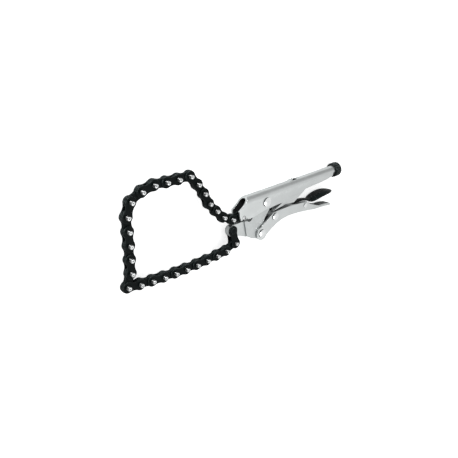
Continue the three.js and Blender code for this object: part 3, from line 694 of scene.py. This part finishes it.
def chain_link(index):
    """Builds one link: the first and the odd ones have outer plates and pins, the even ones bushes."""
    chain = sizes("chain")
    place, pitch = link_place(index)
    number = f"{index + 1:02d}"
    outer = index % 2 == 0
    if index == 0:
        plates = plate_pair(pitch, chain.outer_head, chain.outer_waist, chain.first_low)
        turned_parts = pin_solid(pitch)
    elif outer:
        plates = plate_pair(pitch, chain.outer_head, chain.outer_waist, chain.outer_low)
        turned_parts = gathered([pin_solid(0), pin_solid(pitch)])
    else:
        plates = plate_pair(pitch, chain.inner_head, chain.inner_waist, chain.inner_low)
        turned_parts = gathered([bush_solid(0), bush_solid(pitch)])
    for part in (plates, turned_parts):
        bmesh.ops.transform(part, matrix=place, verts=part.verts)
    black = bpy.data.materials["Chain black"]
    body = "jaw" if index == LINK_COUNT - 1 else f"link_{number}"
    piece_from(plates, f"link_plates_{number}", black, body, [f"chain_link_{number}"])
    kind, finish = ("pins", bpy.data.materials["Pin steel"]) if outer else ("bushes", black)
    piece_from(turned_parts, f"link_{kind}_{number}", finish, body, [])


class CLAMP_OT_chain(bpy.types.Operator):
    """Builds the roller chain, one link for each moving link of the frame."""

    bl_idname = "clamp.chain"
    bl_label = "Chain"

    def execute(self, context):
        for index in range(LINK_COUNT):
            chain_link(index)
        return {"FINISHED"}


# Handle, jaw and levers

class CLAMP_OT_handle(bpy.types.Operator):
    """Rounds the folded sheet of the upper handle."""

    bl_idname = "clamp.handle"
    bl_label = "Upper handle"

    def execute(self, context):
        rounded_copy("upper_handle", "handle_sheet", bpy.data.materials["Satin nickel"], "handle",
                     sizes("body").sheet_edge, open_side=-1)
        return {"FINISHED"}


class CLAMP_OT_jaw(bpy.types.Operator):
    """Rounds the forged jaw and its tongue."""

    bl_idname = "clamp.jaw"
    bl_label = "Lower jaw"

    def execute(self, context):
        rounded_copy("lower_jaw", "jaw_forging", bpy.data.materials["Forged steel"], "jaw",
                     sizes("body").forged_edge)
        return {"FINISHED"}


class CLAMP_OT_levers(bpy.types.Operator):
    """Rounds the main lever, the toggle link and the release lever."""

    bl_idname = "clamp.levers"
    bl_label = "Levers"

    def execute(self, context):
        body = sizes("body")
        finishes = bpy.data.materials
        rounded_copy("main_lever", "lever_sheet", finishes["Polished nickel"], "lever",
                     body.sheet_edge, open_side=1)
        rounded_copy("toggle_link", "toggle_bar", finishes["Forged steel"], "toggle",
                     body.small_edge)
        rounded_copy("release_lever", "release_sheet", finishes["Forged steel"], "release",
                     body.small_edge)
        return {"FINISHED"}


# Grip: (along from the release rivet, underside, top, half width) in millimetres
GRIP_STATIONS = [
    (-19.4, 7.1, 8.7, 3.6), (-19.0, 7.0, 8.8, 4.4), (-2.2, 7.0, 8.8, 4.4), (7.8, 4.7, 6.5, 4.4),
    (14.4, -0.6, 4.7, 5.4), (19.6, -0.9, 5.7, 8.4), (27.8, 1.2, 7.7, 9.6), (37.8, 2.4, 9.0, 10.0),
    (47.0, 2.8, 9.1, 9.8), (54.8, 2.6, 8.4, 8.6), (61.8, 2.1, 6.6, 5.4), (65.6, 2.6, 4.9, 2.8),
    (66.6, 3.2, 4.2, 1.2),
]
GRIP_CORNER = 0.75


def station_matrix(station):
    """The place and size of the grip's section at one station, for a ring of unit half size."""
    along, under, top, half = (value * MM for value in station)
    place = Matrix.Translation(RELEASE_PIVOT + Vector((along, (under + top) / 2, 0)))
    return place @ Matrix.Diagonal((1.0, (top - under) / 2, half, 1.0))


def leaf_solid():
    """A rounded square ring, extruded from station to station."""
    bm = bmesh.new()
    bmesh.ops.create_circle(bm, segments=4, radius=math.sqrt(2))
    turn = Matrix.Rotation(math.pi / 2, 4, "Y") @ Matrix.Rotation(math.pi / 4, 4, "Z")
    bmesh.ops.transform(bm, matrix=turn, verts=bm.verts)
    bmesh.ops.bevel(bm, geom=bm.verts[:], offset=GRIP_CORNER, offset_type="OFFSET", affect="VERTICES",
                    segments=4, profile=0.5, material=-1)
    return extruded(bm, [station_matrix(station) for station in GRIP_STATIONS])


class CLAMP_OT_grip(bpy.types.Operator):
    """Builds the leaf-shaped coating on the release lever."""

    bl_idname = "clamp.grip"
    bl_label = "Release grip"

    def execute(self, context):
        leaf = piece_from(leaf_solid(), "grip_leaf", bpy.data.materials["Dipped grip"], "release",
                          ["release_grip"], crease=math.pi)
        smooth = leaf.modifiers.new("Soft form", "SUBSURF")
        smooth.levels = 2
        smooth.render_levels = 2
        return {"FINISHED"}


# Rivets: node, body, finish, slot, and the head's height and the shank's radius in millimetres
RIVETS = [
    ("jaw_pivot_rivet", "handle", "Bright steel", "bright_steel", 1.6, 2.8),
    ("jaw_lever_rivet", "jaw", "Bright steel", "bright_steel", 1.6, 2.8),
    ("toggle_link_rivet", "lever", "Bright steel", "bright_steel", 1.6, 2.8),
    ("release_lever_rivet", "lever", "Bright steel", "bright_steel", 0.9, 2.0),
    ("chain_anchor_rivet", "jaw", "Chain black", "black_oxide", 0.7, 2.4),
]
DOME_STEPS = 7
# The most of a head's height that its upright brim takes
BRIM_SHARE = 0.65
# A face whose normal rises less than this belongs to the side of a head, which is painted black as shade
UPRIGHT = 0.5


def rivet_solid(node_name, dome, shank):
    """A rivet with a shallow dome over an upright brim at each end, fitted to its CAD node."""
    low, high = (Vector(corner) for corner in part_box(node_name))
    head = (high.x - low.x) / 2 / MM
    top = (high.z - low.z) / 2 / MM
    seat = top - dome
    brim = min(sizes("rivet").brim / MM, dome * BRIM_SHARE)
    rise = dome - brim
    sphere = (head ** 2 + rise ** 2) / (2 * rise)
    sweep = math.asin(head / sphere)
    crown = []
    for step in range(DOME_STEPS + 1):
        angle = sweep * (1 - step / DOME_STEPS)
        crown.append((sphere * math.sin(angle), top - sphere * (1 - math.cos(angle))))
    crown[-1] = (0, top)
    profile = mirrored_profile([(shank, 0), (shank, seat), (head, seat)] + crown)
    bm = turned(profile, sizes("rivet").sides, Matrix.Translation((low + high) / 2))
    for face in bm.faces:
        # The sides of each head take the second material, black as painted shade round the dome
        face.material_index = int(abs(face.normal.z) < UPRIGHT)
    return bm


class CLAMP_OT_rivets(bpy.types.Operator):
    """Builds the domed rivets, bright on top and black round their sides as painted shade."""

    bl_idname = "clamp.rivets"
    bl_label = "Rivets"

    def execute(self, context):
        for node_name, body, finish, slot, dome, shank in RIVETS:
            rivet = piece_from(rivet_solid(node_name, dome, shank), f"{node_name}_domed",
                               bpy.data.materials[finish], body, [node_name], crease=math.radians(40))
            # The second material is black painted shade on the heads' sides
            rivet.data.materials.append(bpy.data.materials["Chain black"])
        return {"FINISHED"}


# Knob: how deep each step round one flute lies, as a share of the flute's depth
FLUTE_STEPS = 8
FLUTE_SHARES = {0: 1.0, 1: 0.8, 2: 0.25, 6: 0.25, 7: 0.8}
# The knob's chamfers in height, and the land between them and the dish, as shares of the chamfer
CHAMFER_RISE_SHARE = 0.7
LAND_SHARE = 1.2
# Screw: faces round its shank, steps in a turn of the thread, and the plain length left at each end
SCREW_SIDES = 32
THREAD_STEPS = 24
THREAD_LEAD = 1.4 * MM
# The thread's depth and half its foot as shares of the pitch, half its crest as a share of half the foot,
# and how far the foot is sunk in the shank
DEPTH_SHARE = 0.5
FOOT_SHARE = 0.42
CREST_SHARE = 0.25
SUNK = 0.05 * MM
# The chamfer round the screw's tip, in millimetres: along it and inwards
TIP_LENGTH = 0.9
TIP_FALL = 0.8


def knob_solid():
    """A cap with rounded flutes: its skirt goes round the tube's end, and its outer end is dished."""
    knob = sizes("knob")
    bm = bmesh.new()
    bmesh.ops.create_circle(bm, segments=knob.flutes * FLUTE_STEPS, radius=1)
    for step, share in FLUTE_SHARES.items():
        hollow = [vert for index, vert in enumerate(bm.verts) if index % FLUTE_STEPS == step]
        shrink = 1 - share * knob.flute_depth / knob.knob_radius
        bmesh.ops.scale(bm, vec=(shrink, shrink, 1), verts=hollow)
    outer, end = knob.knob_radius, knob.knob_length
    small, fall = outer - knob.chamfer, knob.chamfer * CHAMFER_RISE_SHARE
    land = small - knob.chamfer * LAND_SHARE
    sections = [(knob.bore, 0), (knob.bore, -knob.skirt), (small, -knob.skirt), (outer, fall - knob.skirt),
                (outer, end - fall), (small, end), (land, end), (land - knob.dish, end - knob.dish)]
    return extruded(bm, [Matrix.Translation((0, 0, height)) @ Matrix.Diagonal((radius, radius, 1, 1))
                         for radius, height in sections])


def screw_solid(start, end):
    """A shank with a helical thread and a chamfered tip."""
    knob = sizes("knob")
    crest = knob.screw_radius
    root = crest - knob.thread_pitch * DEPTH_SHARE
    reach = (end - start) / MM
    low = root / MM
    shank = turned([(0, 0), (low - TIP_FALL, 0), (low, TIP_LENGTH), (low, reach), (0, reach)], SCREW_SIDES)
    thread = bmesh.new()
    foot = knob.thread_pitch * FOOT_SHARE
    top = foot * CREST_SHARE
    ridge = [(root - SUNK, -foot), (crest, -top), (crest, top), (root - SUNK, foot)]
    verts = [thread.verts.new((radius, 0, height + THREAD_LEAD)) for radius, height in ridge]
    edges = [thread.edges.new(pair) for pair in zip(verts, verts[1:] + verts[:1])]
    turns = int((end - start - 2 * THREAD_LEAD) / knob.thread_pitch)
    steps = turns * THREAD_STEPS
    bmesh.ops.spin(thread, geom=verts + edges, cent=(0, 0, 0), axis=Z_AXIS, angle=FULL_TURN * turns,
                   steps=steps, dvec=(0, 0, turns * knob.thread_pitch / steps), use_duplicate=False)
    open_edges = [edge for edge in thread.edges if len(edge.link_faces) < 2]
    bmesh.ops.holes_fill(thread, edges=open_edges, sides=len(ridge))
    bmesh.ops.recalc_face_normals(thread, faces=thread.faces)
    return gathered([shank, thread])


class CLAMP_OT_knob(bpy.types.Operator):
    """Builds the adjusting screw and the fluted knob on its end."""

    bl_idname = "clamp.knob"
    bl_label = "Screw and knob"

    def execute(self, context):
        low, high = (Vector(corner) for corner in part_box("adjusting_screw"))
        to_x = Matrix.Rotation(math.pi / 2, 4, "Y")
        screw = screw_solid(low.x, high.x)
        place = Matrix.Translation((low.x, TUBE_CENTRE.y, TUBE_CENTRE.z)) @ to_x
        bmesh.ops.transform(screw, matrix=place, verts=screw.verts)
        piece_from(screw, "screw_threaded", bpy.data.materials["Bright steel"], "screw",
                   ["adjusting_screw"])
        knob = knob_solid()
        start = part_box("adjusting_knob")[0][0]
        place = Matrix.Translation((start, TUBE_CENTRE.y, TUBE_CENTRE.z)) @ to_x
        bmesh.ops.transform(knob, matrix=place, verts=knob.verts)
        piece_from(knob, "knob_fluted", bpy.data.materials["Knob black"], "knob",
                   ["adjusting_knob"])
        return {"FINISHED"}


# Spring: its pin and tab, and in millimetres where the coil starts and ends, the eye's radius and neck, and
# the bends of the hook over the tab, from the jaw's pivot
SPRING_PIN = from_pivot(0.0, -18.6)
SPRING_TAB = from_pivot(48.4, 9.6)
COIL_SPAN = (12.5, 50.5)
EYE_HALF = 1.95
EYE_NECK = 3.6
HOOK_BENDS = [(54.75, 11.2), (54.75, 16.7), (54.3, 17.5), (51.6, 17.35)]
# How far out the eye's free end and its neck lie, as shares of the eye's and the coil's radius
FREE_END_SHARE = 0.5
NECK_SHARE = 0.95
EYE_STEPS = 8
COIL_STEPS = 16


def spring_path():
    """Points of the spring's wire, from the eye round the jaw's pin to the hook over the handle's tab."""
    spring = sizes("spring")
    along = (SPRING_TAB - SPRING_PIN).normalized()
    up = Vector((-along.y, along.x, 0))
    side = Vector(Z_AXIS)

    def at(distance, rise, out=0.0):
        """A point in millimetres from the pin: along the spring, across it, and towards +Z."""
        return SPRING_PIN + along * distance * MM + up * rise * MM + side * out * MM

    coil = spring.coil / MM
    eye = [at(EYE_NECK, -EYE_HALF * FREE_END_SHARE)]
    for step in range(EYE_STEPS + 1):
        angle = math.pi * step / EYE_STEPS
        eye.append(at(-EYE_HALF * math.sin(angle), -EYE_HALF * math.cos(angle)))
    eye += [at(EYE_NECK, EYE_HALF), at((EYE_NECK + COIL_SPAN[0]) / 2, coil * NECK_SHARE)]
    count = spring.turns * COIL_STEPS
    turns = []
    for step in range(count + 1):
        angle = FULL_TURN * step / COIL_STEPS
        distance = COIL_SPAN[0] + (COIL_SPAN[1] - COIL_SPAN[0]) * step / count
        turns.append(at(distance, coil * math.cos(angle), coil * math.sin(angle)))
    return eye + turns + [from_pivot(*bend) for bend in HOOK_BENDS]


def wire_solid(points, radius):
    """A round wire with closed ends, along a path of points."""
    curve = bpy.data.curves.new("wire_path", "CURVE")
    curve.dimensions = "3D"
    curve.bevel_depth = radius
    curve.bevel_resolution = 2
    curve.use_fill_caps = True
    spline = curve.splines.new("POLY")
    spline.points.add(len(points) - 1)
    for knot, point in zip(spline.points, points):
        knot.co = (*point, 1.0)
    holder = bpy.data.objects.new("wire_path", curve)
    bm = bmesh.new()
    bm.from_mesh(holder.to_mesh())
    holder.to_mesh_clear()
    bpy.data.objects.remove(holder)
    bpy.data.curves.remove(curve)
    bmesh.ops.remove_doubles(bm, verts=bm.verts, dist=MERGE)
    bmesh.ops.recalc_face_normals(bm, faces=bm.faces)
    return bm


class CLAMP_OT_spring(bpy.types.Operator):
    """Winds the tension spring from the jaw's pin to the handle's tab."""

    bl_idname = "clamp.spring"
    bl_label = "Tension spring"

    def execute(self, context):
        steel = bpy.data.materials["Bright steel"]
        wire = wire_solid(spring_path(), sizes("spring").wire)
        spring = object_from(wire, "spring_wound", steel, crease=math.pi)
        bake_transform(spring)
        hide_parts("tension_spring")
        small_pin = frame["nodes"]["spring_pin"]
        small_pin.data.materials.clear()
        small_pin.data.materials.append(steel)
        return {"FINISHED"}


# Stage: the photograph's camera, in millimetres from the jaw's pivot, and its right and down directions
CAMERA_PLACE = (-455.2, 241.0, 422.2)
CAMERA_RIGHT = (0.7277, -0.0074, 0.6859)
CAMERA_DOWN = (-0.2877, -0.9110, 0.2954)
# What shiny surfaces see: a pale room, dimmer straight overhead and behind the tool, as shares of its walls
OVERHEAD_TONE = 0.55
BEHIND_TONE = 0.55
# Where those parts of the room begin and are whole, by the direction's height and its way along Y
OVERHEAD = (0.80, 0.90)
ABOVE_WALLS = (0.70, 0.85)
BEHIND = (0.05, 0.35)
# What the floor adds to its own light, for the camera and for metal
CAMERA_GLOW = 0.64
METAL_GLOW = 0.12


def add_camera():
    """Sets the camera where the photograph was taken from."""
    stage = sizes("stage")
    lens = bpy.data.cameras.new("camera")
    lens.lens = stage.focal
    lens.sensor_width = stage.sensor
    lens.clip_start = 0.01
    camera = bpy.data.objects.new("camera", lens)
    right = Vector(CAMERA_RIGHT).normalized()
    up = -Vector(CAMERA_DOWN)
    up = (up - right * up.dot(right)).normalized()
    turn = Matrix((right, up, right.cross(up))).transposed().to_4x4()
    camera.matrix_world = Matrix.Translation(from_pivot(*CAMERA_PLACE)) @ turn
    bpy.context.collection.objects.link(camera)
    bpy.context.scene.camera = camera


def background_rays(tree):
    """How much the floor adds for rays from the camera, off metal and through glass, and for no others."""
    path = tree.nodes.new("ShaderNodeLightPath")
    seen = multiplied(tree, path.outputs["Is Camera Ray"], CAMERA_GLOW)
    for name, glow in (("Is Glossy Ray", METAL_GLOW), ("Is Transmission Ray", CAMERA_GLOW)):
        both = node(tree, "ShaderNodeMath", operation="MAXIMUM")
        tree.links.new(seen, both.inputs[0])
        tree.links.new(multiplied(tree, path.outputs[name], glow), both.inputs[1])
        seen = both.outputs[0]
    return seen


def add_room():
    """A pale room: white to the camera, and dimmer in parts to what shiny surfaces reflect."""
    world = bpy.data.worlds.new("pale_room")
    bpy.context.scene.world = world
    world.use_nodes = True
    tree = world.node_tree
    tree.nodes.clear()
    out = tree.nodes.new("ShaderNodeOutputWorld")
    path = tree.nodes.new("ShaderNodeLightPath")
    parts = tree.nodes.new("ShaderNodeSeparateXYZ")
    tree.links.new(tree.nodes.new("ShaderNodeTexCoord").outputs["Generated"], parts.inputs[0])
    overhead = ranged(tree, parts.outputs["Z"], *OVERHEAD, 1.0, OVERHEAD_TONE)
    low = ranged(tree, parts.outputs["Z"], *ABOVE_WALLS, 1.0, 0.0)
    behind = ranged(tree, parts.outputs["Y"], *BEHIND)
    dim = ranged(tree, multiplied(tree, low, behind), 0.0, 1.0, 1.0, BEHIND_TONE)
    room, walls, white = (tree.nodes.new("ShaderNodeBackground") for _ in range(3))
    room.inputs["Strength"].default_value = sizes("stage").room
    tone = multiplied(tree, multiplied(tree, overhead, dim), sizes("stage").walls)
    tree.links.new(tone, walls.inputs["Strength"])
    for background in (room, walls, white):
        background.inputs["Color"].default_value = (1.0, 1.0, 1.0, 1.0)
    mixed = room.outputs[0]
    for ray, shown in (("Is Glossy Ray", walls), ("Is Transmission Ray", white), ("Is Camera Ray", white)):
        mix = tree.nodes.new("ShaderNodeMixShader")
        tree.links.new(path.outputs[ray], mix.inputs[0])
        tree.links.new(mixed, mix.inputs[1])
        tree.links.new(shown.outputs[0], mix.inputs[2])
        mixed = mix.outputs[0]
    tree.links.new(mixed, out.inputs["Surface"])


def floor_finish():
    """A pale matt floor that glows for the camera and a little for metal, and keeps the object's shadow."""
    tint = tuple(sizes("finish").floor)
    material, tree, shader, place = new_material("Pale floor")
    grained = placed_group(tree, "Plated grain", place, Fine_Scale=400.0, Patch_Scale=3.0, Depth=0.02)
    toned = mixed_colour(tree, grained.outputs["Tone"], scaled(tint, 0.995), tint)
    tree.links.new(toned, shader.inputs["Base Color"])
    shader.inputs["Roughness"].default_value = 0.9
    shader.inputs["Specular IOR Level"].default_value = 0.1
    glow = tree.nodes.new("ShaderNodeEmission")
    glow.inputs["Color"].default_value = (1.0, 1.0, 1.0, 1.0)
    tree.links.new(background_rays(tree), glow.inputs["Strength"])
    both = tree.nodes.new("ShaderNodeAddShader")
    tree.links.new(shader.outputs[0], both.inputs[0])
    tree.links.new(glow.outputs[0], both.inputs[1])
    tree.links.new(both.outputs[0], tree.nodes["Material Output"].inputs["Surface"])
    return material


def add_floor():
    """Lays the floor under the tool."""
    bm = bmesh.new()
    bmesh.ops.create_grid(bm, x_segments=1, y_segments=1, size=sizes("stage").floor_side / 2)
    floor = object_from(bm, "floor", floor_finish())


def add_lamp(name, place, aim, side, power):
    """A soft square lamp, placed in millimetres from the jaw's pivot."""
    lamp = bpy.data.lights.new(name, "AREA")
    lamp.shape = "SQUARE"
    lamp.size = side * MM
    lamp.energy = power
    holder = bpy.data.objects.new(name, lamp)
    start, end = from_pivot(*place), from_pivot(*aim)
    turn = (end - start).to_track_quat("-Z", "Y").to_matrix().to_4x4()
    holder.matrix_world = Matrix.Translation(start) @ turn
    bpy.context.collection.objects.link(holder)


class CLAMP_OT_stage(bpy.types.Operator):
    """Sets the floor, the room, the lamps and the camera."""

    bl_idname = "clamp.stage"
    bl_label = "Stage"

    def execute(self, context):
        stage = sizes("stage")
        context.scene.view_settings.view_transform = "Standard"
        add_room()
        add_floor()
        add_lamp("key_lamp", place=(455, -520, 1105), aim=(0, 0, 0), side=300, power=stage.key)
        add_lamp("rim_lamp", place=(-420, 900, 110), aim=(-80, 0, 10), side=260, power=stage.rim)
        add_camera()
        return {"FINISHED"}


class CLAMP_PT_parts(bpy.types.Panel):
    """Lists the clamp's pieces and their sizes."""

    bl_idname = "CLAMP_PT_parts"
    bl_label = "Chain clamp"
    bl_space_type = "VIEW_3D"
    bl_region_type = "UI"
    bl_category = "Clamp"

    def draw(self, context):
        for operator in OPERATORS:
            self.layout.operator(operator.bl_idname)
        for group in GROUPS:
            box = self.layout.box()
            box.label(text=group.capitalize())
            values = sizes(group)
            for name in values.__annotations__:
                box.prop(values, name)


OPERATORS = [
    CLAMP_OT_stage, CLAMP_OT_chain, CLAMP_OT_handle, CLAMP_OT_jaw, CLAMP_OT_levers, CLAMP_OT_grip,
    CLAMP_OT_rivets, CLAMP_OT_knob, CLAMP_OT_spring,
]
CLASSES = [*GROUPS.values(), *OPERATORS, CLAMP_PT_parts]


def register():
    """Registers the classes, and puts each group of sizes on the scene."""
    for cls in CLASSES:
        bpy.utils.register_class(cls)
    for group, cls in GROUPS.items():
        setattr(bpy.types.Scene, f"clamp_{group}", PointerProperty(type=cls))


def unregister():
    """Takes the groups off the scene, and removes the classes."""
    for group in GROUPS:
        delattr(bpy.types.Scene, f"clamp_{group}")
    for cls in reversed(CLASSES):
        bpy.utils.unregister_class(cls)


def main():
    """Builds the stage and every piece."""
    register()
    make_finishes()
    bpy.ops.clamp.stage()
    bpy.ops.clamp.chain()
    bpy.ops.clamp.handle()
    bpy.ops.clamp.jaw()
    bpy.ops.clamp.levers()
    bpy.ops.clamp.grip()
    bpy.ops.clamp.rivets()
    bpy.ops.clamp.knob()
    bpy.ops.clamp.spring()


if __name__ == "__main__":
    main()
